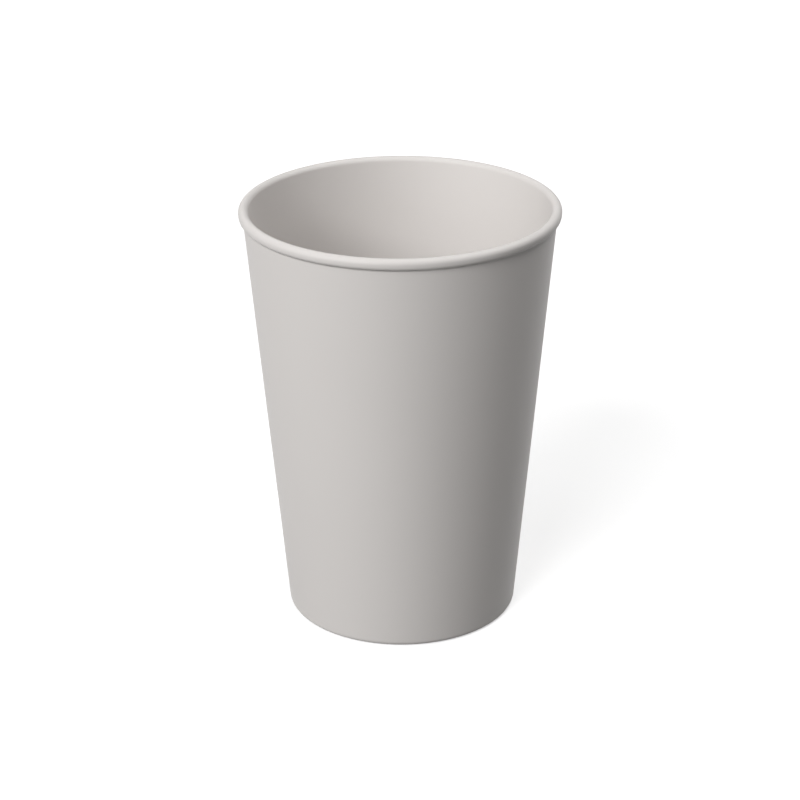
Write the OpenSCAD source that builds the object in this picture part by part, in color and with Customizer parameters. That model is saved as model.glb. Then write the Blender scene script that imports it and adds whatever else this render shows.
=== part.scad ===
// One-piece moulded drinking cup with a solid rounded lip bead.
// The cup is one revolved section: a drafted outer form, less a parallel hollow and the recess
// under its foot, with the bead on top. Heights are measured from the table that it stands on.

/* [Cup] */
// Height from the table to the top of the lip
cup_h = 118.8; // [90:0.2:150]
// Diameter across the outside of the lip
lip_d = 88; // [78:0.5:100]
// Diameter at which the outside of the wall would meet the table
base_d = 64.6; // [54:0.2:74]

/* [Wall] */
// Thickness of the side wall, square to its surface
wall_t = 1.7; // [1.2:0.1:2.2]
// Thickness of the floor
floor_t = 2; // [1.4:0.1:3]
// Radius inside, between the floor and the side wall
floor_edge_r = 4; // [1.5:0.5:10]

/* [Lip bead] */
// Width of the bead across its top
bead_w = 2.8; // [2.4:0.1:3.1]
// Height of the bead
bead_h = 3.2; // [3.2:0.1:5]
// Radius of the hollow where the underside of the bead runs into the wall
bead_root_r = 0.5; // [0.2:0.1:1]

/* [Foot] */
// Radius of the outer edge of the foot
foot_edge_r = 1.6; // [0.8:0.1:2.4]
// Width of the flat ring that stands on the table
foot_land_w = 1; // [0.6:0.1:3]
// Radius of the inner edge of that ring
foot_inner_r = 0.4; // [0.2:0.1:0.6]
// Depth of the recess inside the foot
recess_h = 1.6; // [1.4:0.1:4]
// Radius between the side and the ceiling of the recess
recess_edge_r = 0.8; // [0.3:0.1:0.8]

/* [Gate mark] */
// Diameter of the dimple in the middle of the underside
dimple_d = 8; // [5:0.5:14]
// Depth of that dimple
dimple_h = 0.4; // [0.2:0.1:0.8]
// Diameter of the stub that the moulding gate leaves
stub_d = 1.6; // [1:0.1:3]
// Height of that stub
stub_h = 0.3; // [0.1:0.1:0.6]

/* [Hidden] */
cup_colour = "#dbd7d4";
$fn = 180;

// The bead leans with the wall: a round above, a round below, and a straight side between them.
// This is the radius of both, and the place of the upper one's centre.
bead_r = bead_w / 2;
bead_centre = [lip_d / 2 - bead_r, cup_h - bead_r];

// The inside of the wall runs on into the bead, so the outside, which starts at the table, passes
// that centre at this distance. That settles the length and the draft of the wall.
base_r = base_d / 2;
wall_past_centre = wall_t - bead_r;
base_to_centre = bead_centre - [base_r, 0];
wall_l = sqrt(pow(norm(base_to_centre), 2) - pow(wall_past_centre, 2));
draft = atan2(base_to_centre[0], base_to_centre[1]) + asin(wall_past_centre / norm(base_to_centre));
lower_round_up = wall_l - (bead_h - bead_w);

floor_z = recess_h + floor_t;
land_outer_r = radius_at(foot_edge_r, foot_edge_r);
recess_r = land_outer_r - foot_land_w - foot_inner_r;

// Room for a cut to run out past the surface that it opens
overcut = 1;
// Depth by which a line and the round that it touches cross, so that they meet in one clean edge
bite = 0.0005;

// Radius at height z of the line that runs inside the outer wall, parallel to it
function radius_at(z, inset) = base_r + z * tan(draft) - inset / cos(draft);

// Place of a point given by its distance outwards from the outer wall and its distance up the wall
function on_wall(outwards, up) = [
    base_r + outwards * cos(draft) + up * sin(draft),
    up * cos(draft) - outwards * sin(draft)
];

// Half outline of a solid plug with the draft of the cup. It stands on a level, its side lies inset
// from the outer wall, its lower edge is rounded, and its top is square to the wall.
module drafted_plug(level, inset, edge_r, up) {
    edge_centre = [radius_at(level + edge_r, inset + edge_r), level + edge_r];
    side_start = edge_centre + (edge_r - bite) * [cos(draft), -sin(draft)];
    to_axis = (base_r + up * sin(draft)) / cos(draft);
    translate(edge_centre) circle(edge_r);
    polygon([
        [0, level],
        [edge_centre[0], level],
        side_start,
        on_wall(-inset, up),
        [0, on_wall(-to_axis, up)[1]]
    ]);
}

// The bead, whose inner half is left for the hollow of the cup to trim
module bead_outline() {
    for (up = [lower_round_up, wall_l])
        translate(on_wall(-wall_past_centre, up)) circle(bead_r);
    polygon([
        on_wall(-wall_past_centre, lower_round_up),
        on_wall(bead_w - wall_t - bite, lower_round_up),
        on_wall(bead_w - wall_t - bite, wall_l),
        on_wall(-wall_past_centre, wall_l)
    ]);
}

// The hollow between the outside of the wall and the underside of the bead, which it touches both
module bead_root_outline() {
    reach = bead_r + bead_root_r - bite;
    outwards = bead_root_r - bite;
    up = lower_round_up - sqrt(pow(reach, 2) - pow(outwards + wall_past_centre, 2));
    difference() {
        polygon([
            on_wall(-wall_t / 2, up),
            on_wall(outwards, up),
            on_wall(-wall_past_centre, lower_round_up),
            on_wall(-wall_t / 2, lower_round_up)
        ]);
        translate(on_wall(outwards, up)) circle(bead_root_r);
    }
}

// The recess inside the foot, with its ceiling edge and its rim rounded
module recess_outline() {
    ceiling_centre = [recess_r - recess_edge_r, recess_h - recess_edge_r];
    rim_centre = [recess_r + foot_inner_r, foot_inner_r];
    translate(ceiling_centre) circle(recess_edge_r);
    polygon([
        [0, -overcut],
        [recess_r, -overcut],
        [recess_r, ceiling_centre[1]],
        [ceiling_centre[0], recess_h],
        [0, recess_h]
    ]);
    difference() {
        translate([recess_r - overcut, -overcut]) square(foot_inner_r + overcut);
        translate(rim_centre) circle(foot_inner_r);
    }
}

// All that is hollow under the floor: the recess, and the dimple in its ceiling round the gate's stub
module underside_outline() {
    dimple_z = recess_h + dimple_h;
    difference() {
        union() {
            recess_outline();
            square([dimple_d / 2, dimple_z]);
        }
        translate([0, dimple_z - stub_h]) square([stub_d / 2, stub_h]);
    }
}

module cup_section() {
    difference() {
        union() {
            drafted_plug(0, 0, foot_edge_r, wall_l);
            bead_outline();
            bead_root_outline();
        }
        drafted_plug(floor_z, wall_t - bite, floor_edge_r, wall_l + bead_h);
        underside_outline();
    }
}

module cup() {
    color(cup_colour) rotate_extrude() cup_section();
}

cup();
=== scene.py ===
"""A one-piece moulded drinking cup: its turned body, its satin plastic and a pale studio round it."""

import math

import bpy
from mathutils import Matrix, Vector


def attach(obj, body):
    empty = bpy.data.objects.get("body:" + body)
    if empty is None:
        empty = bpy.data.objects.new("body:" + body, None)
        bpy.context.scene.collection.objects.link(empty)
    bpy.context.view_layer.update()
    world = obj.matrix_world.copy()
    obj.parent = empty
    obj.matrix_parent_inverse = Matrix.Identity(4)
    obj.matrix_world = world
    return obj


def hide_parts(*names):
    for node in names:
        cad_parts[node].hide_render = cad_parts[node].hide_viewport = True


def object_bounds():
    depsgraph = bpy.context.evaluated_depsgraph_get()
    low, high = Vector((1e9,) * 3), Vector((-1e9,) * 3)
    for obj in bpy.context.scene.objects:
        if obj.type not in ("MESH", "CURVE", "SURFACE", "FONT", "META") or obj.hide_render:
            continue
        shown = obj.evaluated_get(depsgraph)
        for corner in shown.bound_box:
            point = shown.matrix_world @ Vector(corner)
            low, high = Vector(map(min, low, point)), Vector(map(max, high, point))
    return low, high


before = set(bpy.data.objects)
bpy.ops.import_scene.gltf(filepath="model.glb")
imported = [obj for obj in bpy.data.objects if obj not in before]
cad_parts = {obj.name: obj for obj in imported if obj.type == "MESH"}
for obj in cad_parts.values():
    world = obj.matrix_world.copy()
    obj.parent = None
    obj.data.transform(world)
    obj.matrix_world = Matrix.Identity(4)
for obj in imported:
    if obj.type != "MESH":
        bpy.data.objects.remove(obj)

bl_info = {
    "name": "Moulded Drinking Cup",
    "version": (1, 0, 0),
    "blender": (4, 5, 0),
    "location": "3D View > Sidebar > Cup",
    "description": "Builds a tapered drinking cup with a solid lip bead, and a pale studio round it",
    "category": "Object",
}

CAD_LOW, CAD_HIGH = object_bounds()
# Diameter of the widest round body about the axis that stays inside the CAD box
CAD_DIAMETER = 2 * min(-CAD_LOW.x, -CAD_LOW.y, CAD_HIGH.x, CAD_HIGH.y)
MM = 0.001

# Steps of the turned outline: the turn of one step on a round, and the longest step on a straight run
ROUND_STEP = math.radians(7.5)
RUN_STEP = 4 * MM
# Distance from each end of a long run at which it gets a point, so that its shading stays even
RUN_END = 0.2 * MM
# Points of the turned mesh that lie closer are made one, as on the axis and where the turn closes
WELD = 0.001 * MM

# Width of the camera's sensor in millimetres
SENSOR_WIDTH = 36
# Name, power setting, diameter in metres, azimuth and elevation in degrees, and distance in metres
LAMPS = (
    ("Key Lamp", "key_power", 1.2, -30, 35, 2.0),
    ("Side Lamp", "side_power", 1.0, -60, 25, 1.2),
    ("Back Lamp", "back_power", 0.7, 120, 55, 1.2),
    ("Low Lamp", "low_power", 0.7, 190, -50, 1.2),
)


def linear(red, green, blue):
    """The scene-linear colour of an sRGB colour given in steps of 255."""
    shares = (red / 255, green / 255, blue / 255)
    return tuple(c / 12.92 if c <= 0.04045 else ((c + 0.055) / 1.055) ** 2.4 for c in shares)


def length_property(name, description, default):
    """A setting that is a length, in metres."""
    return bpy.props.FloatProperty(
        name=name, description=description, default=default, min=0.0, unit="LENGTH", precision=5
    )


class CupShapeSettings(bpy.types.PropertyGroup):
    """Sizes of the moulded body."""

    height: length_property("Height", "From the table to the top of the lip", CAD_HIGH.z - CAD_LOW.z)
    lip_diameter: length_property("Lip diameter", "Across the outside of the lip", CAD_DIAMETER)
    base_diameter: length_property("Base diameter", "Where the wall's outside meets the table", 64.6 * MM)
    wall: length_property("Wall", "Thickness of the side wall", 1.7 * MM)
    floor: length_property("Floor", "Thickness of the floor", 2 * MM)
    floor_radius: length_property("Floor radius", "Inside, between the floor and the side", 4 * MM)
    bead_width: length_property("Bead width", "Across the top of the lip bead", 2.8 * MM)
    bead_height: length_property("Bead height", "From the underside to the top of the lip bead", 3.2 * MM)
    bead_root: length_property("Bead root radius", "Between the bead's underside and the wall", 0.5 * MM)
    foot_radius: length_property("Foot radius", "Outer edge of the foot", 1.6 * MM)
    land_width: length_property("Land width", "Flat ring that stands on the table", 1 * MM)
    land_radius: length_property("Land radius", "Inner edge of the flat ring", 0.4 * MM)
    recess_depth: length_property("Recess depth", "Hollow inside the foot", 1.6 * MM)
    recess_radius: length_property("Recess radius", "Between the recess's side and ceiling", 0.8 * MM)
    dimple_diameter: length_property("Dimple diameter", "Round the gate mark", 8 * MM)
    dimple_depth: length_property("Dimple depth", "Round the gate mark", 0.4 * MM)
    stub_diameter: length_property("Stub diameter", "What the moulding gate leaves", 1.6 * MM)
    stub_height: length_property("Stub height", "What the moulding gate leaves", 0.3 * MM)
    mark_radius: length_property("Mark radius", "Small rounds on the dimple and the stub", 0.06 * MM)
    turns: bpy.props.IntProperty(
        name="Turns", description="Steps round the axis", default=240, min=12, max=720
    )


class CupFinishSettings(bpy.types.PropertyGroup):
    """Colour and surface of the plastic."""

    colour: bpy.props.FloatVectorProperty(
        name="Colour", description="Body colour of the plastic", subtype="COLOR",
        default=linear(219, 215, 212), min=0.0, max=1.0,
    )
    refraction: bpy.props.FloatProperty(
        name="Refraction", description="Index of refraction of polypropylene", default=1.49, min=1.0
    )
    specular: bpy.props.FloatProperty(
        name="Specular", description="Level of the reflection, at 0.5 what the index gives", default=0.3,
        min=0.0, max=1.0, subtype="FACTOR",
    )
    roughness: bpy.props.FloatProperty(
        name="Roughness", description="Satin of the mould's surface", default=0.5,
        min=0.0, max=1.0, subtype="FACTOR",
    )
    roughness_spread: bpy.props.FloatProperty(
        name="Roughness spread", description="How far the roughness goes up and down", default=0.04,
        min=0.0, max=0.2, subtype="FACTOR",
    )
    tone_depth: bpy.props.FloatProperty(
        name="Tone depth", description="Share by which the colour drifts over the cup", default=0.012,
        min=0.0, max=0.2, subtype="FACTOR",
    )
    cloud_size: length_property("Cloud size", "Width of one drift of the colour", 30 * MM)
    grain_size: length_property("Grain size", "Width of one fleck of the mould's fine texture", 0.35 * MM)
    grain_depth: length_property("Grain depth", "Relief of the mould's fine texture", 0.004 * MM)


class CupStageSettings(bpy.types.PropertyGroup):
    """Camera, lamps and floor."""

    camera_target: bpy.props.FloatVectorProperty(
        name="Camera target", description="Point at which the camera looks",
        default=(-0.0003, 0.0, 0.06085), subtype="TRANSLATION", precision=5,
    )
    camera_distance: length_property("Camera distance", "From its target", 0.6795)
    camera_azimuth: bpy.props.FloatProperty(
        name="Camera azimuth", description="To the right of the cup's front",
        default=math.radians(0.027), unit="ROTATION",
    )
    camera_elevation: bpy.props.FloatProperty(
        name="Camera elevation", description="Above the horizon", default=math.radians(23.66),
        unit="ROTATION",
    )
    camera_roll: bpy.props.FloatProperty(
        name="Camera roll", description="Lean of the camera about its own axis",
        default=math.radians(-0.3), unit="ROTATION",
    )
    lens: bpy.props.FloatProperty(
        name="Lens", description="Focal length in millimetres", default=108.86
    )
    key_power: bpy.props.FloatProperty(
        name="Key lamp", description="Power of the soft lamp at the front left", default=27.6, unit="POWER"
    )
    side_power: bpy.props.FloatProperty(
        name="Side lamp", description="Power of the broad lamp at the left", default=4.0, unit="POWER"
    )
    back_power: bpy.props.FloatProperty(
        name="Back lamp", description="Power of the soft lamp at the back right", default=5.6, unit="POWER"
    )
    low_power: bpy.props.FloatProperty(
        name="Low lamp", description="Power of the lamp below, for the back and the underside", default=2.0,
        unit="POWER",
    )
    sky_strength: bpy.props.FloatProperty(
        name="Sky", description="Strength of the even light from all round", default=0.154
    )
    floor_size: length_property("Floor size", "Length of the floor's sides", 8.0)
    floor_shade: bpy.props.FloatProperty(
        name="Floor shade", description="Share of the lamps' light that the seen floor throws back",
        default=0.8, min=0.0, max=1.0, subtype="FACTOR",
    )
    floor_bounce: bpy.props.FloatProperty(
        name="Floor bounce", description="Strength of the even light from the floor", default=0.106
    )
    near_glow: bpy.props.FloatProperty(
        name="Near glow", description="Strength of the floor's seen glow near the cup", default=0.5
    )
    far_glow: bpy.props.FloatProperty(
        name="Far glow", description="The same where the lamps light the floor less", default=1.0
    )
    glow_start: length_property("Glow start", "Distance from the cup at which the glow starts to rise", 0.25)
    glow_end: length_property("Glow end", "Distance from the cup at which it has risen", 0.9)


def arc(centre, radius, start, end):
    """Points of a round from one angle to another, both ends included."""
    steps = max(2, math.ceil(abs(end - start) / ROUND_STEP))
    angles = [start + (end - start) * i / steps for i in range(steps + 1)]
    return [centre + radius * Vector((math.cos(a), math.sin(a))) for a in angles]


def rounded(corners):
    """A run of straight lines through (point, radius) corners, each turned into a round of its radius."""
    points = [corners[0][0]]
    for (before, _), (corner, radius), (after, _) in zip(corners, corners[1:], corners[2:]):
        towards_before = (before - corner).normalized()
        towards_after = (after - corner).normalized()
        half_angle = towards_before.angle(towards_after) / 2
        inwards = (towards_before + towards_after).normalized()
        centre = corner + inwards * (radius / math.sin(half_angle))
        touch_in = corner + towards_before * (radius / math.tan(half_angle))
        touch_out = corner + towards_after * (radius / math.tan(half_angle))
        start = math.atan2(*(touch_in - centre).yx)
        turn = math.remainder(math.atan2(*(touch_out - centre).yx) - start, math.tau)
        points += arc(centre, radius, start, start + turn)
    return points + [corners[-1][0]]


def with_run_points(points):
    """The outline with extra points on its long straight runs, close to each end and evenly between."""
    filled = [points[0]]
    for start, end in zip(points, points[1:]):
        length = (end - start).length
        if length > 4 * RUN_END:
            along = (end - start).normalized()
            inner = length - 2 * RUN_END
            steps = max(1, math.ceil(inner / RUN_STEP))
            filled += [start + along * (RUN_END + inner * i / steps) for i in range(steps + 1)]
        filled.append(end)
    return filled


def cup_outline(cup):
    """Half section of the cup as (radius, height) points, from the axis under the foot, up the
    outside, over the lip and down to the axis on the floor."""
    base = Vector((cup.base_diameter / 2, 0))
    bead = cup.bead_width / 2
    bead_centre = Vector((cup.lip_diameter / 2 - bead, cup.height - bead))

    # The inside of the wall runs on into the bead, which settles the draft and length of the wall
    wall_past_centre = cup.wall - bead
    reach = bead_centre - base
    wall_length = math.sqrt(reach.length_squared - wall_past_centre**2)
    draft = math.atan2(*reach) + math.asin(wall_past_centre / reach.length)
    outwards = Vector((math.cos(draft), -math.sin(draft)))
    upwards = Vector((math.sin(draft), math.cos(draft)))

    def on_wall(out, up):
        return base + outwards * out + upwards * up

    def radius_at(height, inset):
        return base.x + height * math.tan(draft) - inset / math.cos(draft)

    floor = cup.recess_depth + cup.floor
    land_outer = radius_at(cup.foot_radius, cup.foot_radius)
    recess = land_outer - cup.land_width - cup.land_radius
    dimple = cup.recess_depth + cup.dimple_depth
    stub = dimple - cup.stub_height

    # The hollow under the bead touches the wall and the bead's lower round
    low_up = wall_length - (cup.bead_height - cup.bead_width)
    low_centre = on_wall(-wall_past_centre, low_up)
    drop = math.sqrt((bead + cup.bead_root) ** 2 - (cup.bead_root + wall_past_centre) ** 2)
    root_centre = on_wall(cup.bead_root, low_up - drop)
    to_root = math.atan2(*(root_centre - low_centre).yx)

    outside = rounded([
        (Vector((0, stub)), 0),
        (Vector((cup.stub_diameter / 2, stub)), cup.mark_radius),
        (Vector((cup.stub_diameter / 2, dimple)), cup.mark_radius),
        (Vector((cup.dimple_diameter / 2, dimple)), cup.mark_radius),
        (Vector((cup.dimple_diameter / 2, cup.recess_depth)), cup.mark_radius),
        (Vector((recess, cup.recess_depth)), cup.recess_radius),
        (Vector((recess, 0)), cup.land_radius),
        (base, cup.foot_radius),
        (on_wall(0, low_up - drop), 0),
    ])
    root = arc(root_centre, cup.bead_root, math.pi - draft, math.pi + to_root)
    underside = arc(low_centre, bead, to_root, -draft)
    lip = arc(bead_centre, bead, -draft, math.pi - draft)
    inside = rounded([
        (on_wall(-cup.wall, wall_length), 0),
        (Vector((radius_at(floor, cup.wall), floor)), cup.floor_radius),
        (Vector((0, floor)), 0),
    ])
    return with_run_points(outside + root[1:] + underside[1:] + lip + inside[1:])


def outline_object(name, points):
    """An object whose mesh is the open run of edges through the (radius, height) points."""
    mesh = bpy.data.meshes.new(name)
    mesh.from_pydata([(r, 0, z) for r, z in points], [(i, i + 1) for i in range(len(points) - 1)], [])
    made = bpy.data.objects.new(name, mesh)
    bpy.context.scene.collection.objects.link(made)
    return made


def add_node(tree, kind, **settings):
    """A node of that kind, with its own settings."""
    node = tree.nodes.new(kind)
    for name, value in settings.items():
        setattr(node, name, value)
    return node


def turned_tree():
    """Geometry Nodes that turn an outline in the XZ plane about Z into a closed solid."""
    tree = bpy.data.node_groups.new("Turned Solid", "GeometryNodeTree")
    sockets = tree.interface
    sockets.new_socket("Outline", in_out="INPUT", socket_type="NodeSocketGeometry")
    sockets.new_socket("Turns", in_out="INPUT", socket_type="NodeSocketInt")
    sockets.new_socket("Weld Distance", in_out="INPUT", socket_type="NodeSocketFloat")
    sockets.new_socket("Plastic", in_out="INPUT", socket_type="NodeSocketMaterial")
    sockets.new_socket("Solid", in_out="OUTPUT", socket_type="NodeSocketGeometry")
    given = add_node(tree, "NodeGroupInput")
    result = add_node(tree, "NodeGroupOutput")
    link = tree.links.new

    # A flat grid with one column for each point of the outline and one row for each step round
    count = add_node(tree, "GeometryNodeAttributeDomainSize", component="MESH")
    link(given.outputs["Outline"], count.inputs["Geometry"])
    rows = add_node(tree, "ShaderNodeMath", operation="ADD")
    link(given.outputs["Turns"], rows.inputs[0])
    rows.inputs[1].default_value = 1
    grid = add_node(tree, "GeometryNodeMeshGrid")
    link(count.outputs["Point Count"], grid.inputs["Vertices X"])
    link(rows.outputs[0], grid.inputs["Vertices Y"])

    # Each grid point finds its place on the outline and its angle round the axis from its own number
    number = add_node(tree, "GeometryNodeInputIndex")
    column_share = add_node(tree, "ShaderNodeMath", operation="DIVIDE")
    link(number.outputs[0], column_share.inputs[0])
    link(rows.outputs[0], column_share.inputs[1])
    column = add_node(tree, "ShaderNodeMath", operation="FLOOR")
    link(column_share.outputs[0], column.inputs[0])
    row = add_node(tree, "ShaderNodeMath", operation="FLOORED_MODULO")
    link(number.outputs[0], row.inputs[0])
    link(rows.outputs[0], row.inputs[1])
    share_round = add_node(tree, "ShaderNodeMath", operation="DIVIDE")
    link(row.outputs[0], share_round.inputs[0])
    link(given.outputs["Turns"], share_round.inputs[1])
    angle = add_node(tree, "ShaderNodeMath", operation="MULTIPLY")
    link(share_round.outputs[0], angle.inputs[0])
    angle.inputs[1].default_value = math.tau

    place = add_node(tree, "GeometryNodeInputPosition")
    on_outline = add_node(tree, "GeometryNodeSampleIndex", data_type="FLOAT_VECTOR", domain="POINT")
    link(given.outputs["Outline"], on_outline.inputs["Geometry"])
    link(place.outputs[0], on_outline.inputs["Value"])
    link(column.outputs[0], on_outline.inputs["Index"])
    turned = add_node(tree, "ShaderNodeVectorRotate", rotation_type="Z_AXIS")
    link(on_outline.outputs["Value"], turned.inputs["Vector"])
    link(angle.outputs[0], turned.inputs["Angle"])

    wrap = add_node(tree, "GeometryNodeStoreNamedAttribute", data_type="FLOAT2", domain="CORNER")
    wrap.inputs["Name"].default_value = "UVMap"
    link(grid.outputs["Mesh"], wrap.inputs["Geometry"])
    link(grid.outputs["UV Map"], wrap.inputs["Value"])
    bend = add_node(tree, "GeometryNodeSetPosition")
    link(wrap.outputs["Geometry"], bend.inputs["Geometry"])
    link(turned.outputs["Vector"], bend.inputs["Position"])
    # The bent grid's faces look into the wall, so they are turned to look outwards
    outwards = add_node(tree, "GeometryNodeFlipFaces")
    link(bend.outputs["Geometry"], outwards.inputs["Mesh"])
    weld = add_node(tree, "GeometryNodeMergeByDistance")
    link(outwards.outputs["Mesh"], weld.inputs["Geometry"])
    link(given.outputs["Weld Distance"], weld.inputs["Distance"])
    smooth = add_node(tree, "GeometryNodeSetShadeSmooth", domain="FACE")
    link(weld.outputs["Geometry"], smooth.inputs["Geometry"])
    realize = add_node(tree, "GeometryNodeRealizeInstances")
    link(smooth.outputs["Geometry"], realize.inputs["Geometry"])
    finish = add_node(tree, "GeometryNodeSetMaterial")
    link(realize.outputs["Geometry"], finish.inputs["Geometry"])
    link(given.outputs["Plastic"], finish.inputs["Material"])
    link(finish.outputs["Geometry"], result.inputs["Solid"])
    return tree


def set_inputs(modifier, values):
    """Sets a Geometry Nodes modifier's inputs, which it keeps under the sockets' identifiers."""
    for item in modifier.node_group.interface.items_tree:
        if item.in_out == "INPUT" and item.name in values:
            modifier[item.identifier] = values[item.name]


def make_plain(made):
    """Turns the evaluated result of an object's modifiers into its own mesh and takes them off."""
    bpy.context.view_layer.update()
    evaluated = made.evaluated_get(bpy.context.evaluated_depsgraph_get())
    mesh = bpy.data.meshes.new_from_object(evaluated)
    for slot in reversed(range(len(mesh.materials))):
        if mesh.materials[slot] is None:
            mesh.materials.pop(index=slot)
    old = made.data
    made.modifiers.clear()
    made.data = mesh
    bpy.data.meshes.remove(old)
    mesh.name = made.name


def moulded_surface_group():
    """Shader group: how plastic from a mould varies over its surface, from object coordinates."""
    group = bpy.data.node_groups.new("Moulded Surface", "ShaderNodeTree")
    sockets = group.interface
    sockets.new_socket("Place", in_out="INPUT", socket_type="NodeSocketVector")
    sockets.new_socket("Grain Size", in_out="INPUT", socket_type="NodeSocketFloat")
    sockets.new_socket("Cloud Size", in_out="INPUT", socket_type="NodeSocketFloat")
    sockets.new_socket("Cloud", in_out="OUTPUT", socket_type="NodeSocketFloat")
    sockets.new_socket("Grain", in_out="OUTPUT", socket_type="NodeSocketFloat")
    given = add_node(group, "NodeGroupInput")
    result = add_node(group, "NodeGroupOutput")
    link = group.links.new

    for name, detail, roughness in (("Cloud", 2, 0.45), ("Grain", 3, 0.6)):
        scale = add_node(group, "ShaderNodeMath", operation="DIVIDE")
        scale.inputs[0].default_value = 1
        link(given.outputs[name + " Size"], scale.inputs[1])
        noise = add_node(group, "ShaderNodeTexNoise", noise_dimensions="3D")
        noise.inputs["Detail"].default_value = detail
        noise.inputs["Roughness"].default_value = roughness
        link(given.outputs["Place"], noise.inputs["Vector"])
        link(scale.outputs[0], noise.inputs["Scale"])
        link(noise.outputs["Fac"], result.inputs[name])
    return group


def ranged(tree, source, low, high):
    """A Map Range node that spreads a source, of 0 to 1 if not set otherwise, over low to high."""
    node = add_node(tree, "ShaderNodeMapRange")
    node.inputs["To Min"].default_value = low
    node.inputs["To Max"].default_value = high
    tree.links.new(source, node.inputs["Value"])
    return node


def cup_plastic(finish):
    """Satin moulded plastic with a slight drift of tone and the fine relief of the mould."""
    material = bpy.data.materials.new("Cup Plastic")
    material.use_nodes = True
    tree = material.node_tree
    link = tree.links.new
    shader = tree.nodes["Principled BSDF"]
    shader.inputs["IOR"].default_value = finish.refraction
    shader.inputs["Specular IOR Level"].default_value = finish.specular

    place = add_node(tree, "ShaderNodeTexCoord")
    surface = add_node(tree, "ShaderNodeGroup", node_tree=moulded_surface_group())
    surface.inputs["Grain Size"].default_value = finish.grain_size
    surface.inputs["Cloud Size"].default_value = finish.cloud_size
    link(place.outputs["Object"], surface.inputs["Place"])

    tone = ranged(tree, surface.outputs["Cloud"], 1 - finish.tone_depth, 1 + finish.tone_depth)
    body = add_node(tree, "ShaderNodeVectorMath", operation="SCALE")
    body.inputs[0].default_value = finish.colour
    link(tone.outputs["Result"], body.inputs["Scale"])
    link(body.outputs["Vector"], shader.inputs["Base Color"])

    smoothest = finish.roughness - finish.roughness_spread
    roughest = finish.roughness + finish.roughness_spread
    satin = ranged(tree, surface.outputs["Grain"], smoothest, roughest)
    link(satin.outputs["Result"], shader.inputs["Roughness"])
    relief = add_node(tree, "ShaderNodeBump")
    relief.inputs["Distance"].default_value = finish.grain_depth
    relief.inputs["Strength"].default_value = 1
    link(surface.outputs["Grain"], relief.inputs["Height"])
    link(relief.outputs["Normal"], shader.inputs["Normal"])
    return material


class CUP_OT_body(bpy.types.Operator):
    """Builds the moulded body of the cup"""

    bl_idname = "cup.body"
    bl_label = "Cup body"

    def execute(self, context):
        shape = context.scene.cup_shape
        outline = cup_outline(shape)
        if min(r for r, _ in outline) < 0:
            raise RuntimeError("The sizes of the cup take its outline past its axis")
        body = outline_object("cup_body", outline)
        turned = body.modifiers.new("Turned Solid", "NODES")
        turned.node_group = turned_tree()
        set_inputs(turned, {
            "Turns": shape.turns,
            "Weld Distance": WELD,
            "Plastic": cup_plastic(context.scene.cup_finish),
        })
        make_plain(body)
        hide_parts("cup")
        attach(body, "root")
        return {"FINISHED"}


def aim(made, place, target, roll=0.0):
    """Puts a lamp or camera at a place, looking at the target."""
    look = (Vector(target) - Vector(place)).to_track_quat("-Z", "Y")
    turn = look.to_matrix().to_4x4() @ Matrix.Rotation(roll, 4, "Z")
    made.matrix_world = Matrix.Translation(place) @ turn


def around(target, azimuth, elevation, distance):
    """The place at a distance from the target: azimuth 0 is in front, and a quarter turn is on the right."""
    return Vector(target) + distance * Vector((
        math.sin(azimuth) * math.cos(elevation),
        -math.cos(azimuth) * math.cos(elevation),
        math.sin(elevation),
    ))


def add_soft_lamp(name, power, size, place, target):
    """A round soft lamp aimed at the target."""
    light = bpy.data.lights.new(name, "AREA")
    light.shape = "DISK"
    light.size = size
    light.energy = power
    lamp = bpy.data.objects.new(name, light)
    lamp.visible_camera = False
    bpy.context.scene.collection.objects.link(lamp)
    aim(lamp, place, target)


def either(tree, first, second):
    """A mask that is 1 where one of two masks is 1."""
    node = add_node(tree, "ShaderNodeMath", operation="MAXIMUM")
    tree.links.new(first, node.inputs[0])
    tree.links.new(second, node.inputs[1])
    return node.outputs[0]


def mixed(tree, mask, first, second):
    """The first shader where the mask is 0 and the second where it is 1."""
    node = add_node(tree, "ShaderNodeMixShader")
    tree.links.new(mask, node.inputs["Fac"])
    tree.links.new(first, node.inputs[1])
    tree.links.new(second, node.inputs[2])
    return node.outputs[0]


def white_light(tree, kind, strength=1.0):
    """A white Background or Emission node."""
    node = add_node(tree, kind)
    node.inputs["Color"].default_value = (1, 1, 1, 1)
    node.inputs["Strength"].default_value = strength
    return node


def seen_directly(tree):
    """1 for what the camera sees itself or in a reflection or through glass, and 0 for other light."""
    path = add_node(tree, "ShaderNodeLightPath")
    seen = either(tree, path.outputs["Is Camera Ray"], path.outputs["Is Glossy Ray"])
    return either(tree, seen, path.outputs["Is Transmission Ray"])


def make_studio_sky(strength):
    """Gives the scene a world that lights evenly and shows plain white to the camera."""
    world = bpy.data.worlds.new("Studio Sky")
    world.use_nodes = True
    tree = world.node_tree
    tree.nodes.clear()
    light = white_light(tree, "ShaderNodeBackground", strength)
    backdrop = white_light(tree, "ShaderNodeBackground")
    shown = mixed(tree, seen_directly(tree), light.outputs[0], backdrop.outputs[0])
    output = add_node(tree, "ShaderNodeOutputWorld")
    tree.links.new(shown, output.inputs["Surface"])
    bpy.context.scene.world = world


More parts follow.
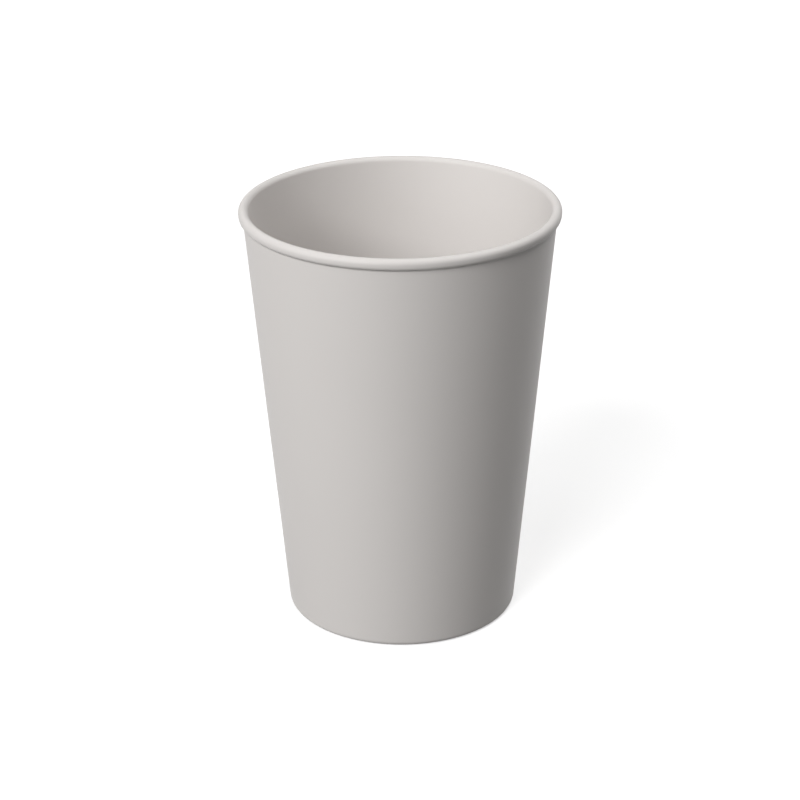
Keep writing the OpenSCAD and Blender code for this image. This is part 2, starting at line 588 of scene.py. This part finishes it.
def pale_floor_material(stage):
    """White floor that keeps a soft shadow and lights the cup evenly from below."""
    material = bpy.data.materials.new("Pale Floor")
    material.use_nodes = True
    tree = material.node_tree
    tree.nodes.clear()
    link = tree.links.new
    bounce = white_light(tree, "ShaderNodeEmission", stage.floor_bounce)

    # What is seen directly is a matt sheet with some glow, which comes to white outside the shadow.
    # The glow rises with the distance from the cup, as the light of the lamps falls.
    paper = add_node(tree, "ShaderNodeBsdfDiffuse")
    paper.inputs["Color"].default_value = (stage.floor_shade, stage.floor_shade, stage.floor_shade, 1)
    place = add_node(tree, "ShaderNodeTexCoord")
    distance = add_node(tree, "ShaderNodeVectorMath", operation="LENGTH")
    link(place.outputs["Object"], distance.inputs[0])
    rise = ranged(tree, distance.outputs["Value"], stage.near_glow, stage.far_glow)
    rise.interpolation_type = "SMOOTHSTEP"
    rise.inputs["From Min"].default_value = stage.glow_start
    rise.inputs["From Max"].default_value = stage.glow_end
    glow = white_light(tree, "ShaderNodeEmission")
    link(rise.outputs["Result"], glow.inputs["Strength"])
    sheet = add_node(tree, "ShaderNodeAddShader")
    link(paper.outputs[0], sheet.inputs[0])
    link(glow.outputs[0], sheet.inputs[1])
    above = mixed(tree, seen_directly(tree), bounce.outputs[0], sheet.outputs[0])

    # A camera or lamp under the floor looks through it at the underside of the cup
    clear = add_node(tree, "ShaderNodeBsdfTransparent")
    side = add_node(tree, "ShaderNodeNewGeometry")
    path = add_node(tree, "ShaderNodeLightPath")
    from_below = either(tree, side.outputs["Backfacing"], path.outputs["Is Shadow Ray"])
    output = add_node(tree, "ShaderNodeOutputMaterial")
    link(mixed(tree, from_below, above, clear.outputs[0]), output.inputs["Surface"])
    return material


class CUP_OT_stage(bpy.types.Operator):
    """Builds the floor, the lamps and the camera"""

    bl_idname = "cup.stage"
    bl_label = "Stage"

    def execute(self, context):
        stage = context.scene.cup_stage
        scene = context.scene

        camera_data = bpy.data.cameras.new("Camera")
        camera_data.sensor_width = SENSOR_WIDTH
        camera_data.lens = stage.lens
        camera = bpy.data.objects.new("Camera", camera_data)
        scene.collection.objects.link(camera)
        target = stage.camera_target
        place = around(target, stage.camera_azimuth, stage.camera_elevation, stage.camera_distance)
        aim(camera, place, target, stage.camera_roll)
        scene.camera = camera

        floor_mesh = bpy.data.meshes.new("floor")
        half = stage.floor_size / 2
        corners = [(-half, -half), (half, -half), (half, half), (-half, half)]
        floor_mesh.from_pydata([(x, y, CAD_LOW.z) for x, y in corners], [], [(0, 1, 2, 3)])
        floor = bpy.data.objects.new("floor", floor_mesh)
        floor_mesh.materials.append(pale_floor_material(stage))
        scene.collection.objects.link(floor)

        make_studio_sky(stage.sky_strength)
        middle = (CAD_LOW + CAD_HIGH) / 2
        for name, power, size, azimuth, elevation, distance in LAMPS:
            place = around(middle, math.radians(azimuth), math.radians(elevation), distance)
            add_soft_lamp(name, getattr(stage, power), size, place, middle)

        scene.view_settings.view_transform = "Standard"
        return {"FINISHED"}


class CUP_PT_panel(bpy.types.Panel):
    """Lists the steps that build the cup"""

    bl_idname = "CUP_PT_panel"
    bl_label = "Moulded Drinking Cup"
    bl_space_type = "VIEW_3D"
    bl_region_type = "UI"
    bl_category = "Cup"

    def draw(self, context):
        layout = self.layout
        for step in (CUP_OT_body, CUP_OT_stage):
            layout.operator(step.bl_idname)


SETTINGS = {"cup_shape": CupShapeSettings, "cup_finish": CupFinishSettings, "cup_stage": CupStageSettings}
CLASSES = (*SETTINGS.values(), CUP_OT_body, CUP_OT_stage, CUP_PT_panel)


def register():
    for kind in CLASSES:
        bpy.utils.register_class(kind)
    for name, kind in SETTINGS.items():
        setattr(bpy.types.Scene, name, bpy.props.PointerProperty(type=kind))


def unregister():
    for name in SETTINGS:
        delattr(bpy.types.Scene, name)
    for kind in reversed(CLASSES):
        bpy.utils.unregister_class(kind)


def main():
    """Builds the cup and its stage."""
    register()
    bpy.ops.cup.stage()
    bpy.ops.cup.body()


if __name__ == "__main__":
    main()
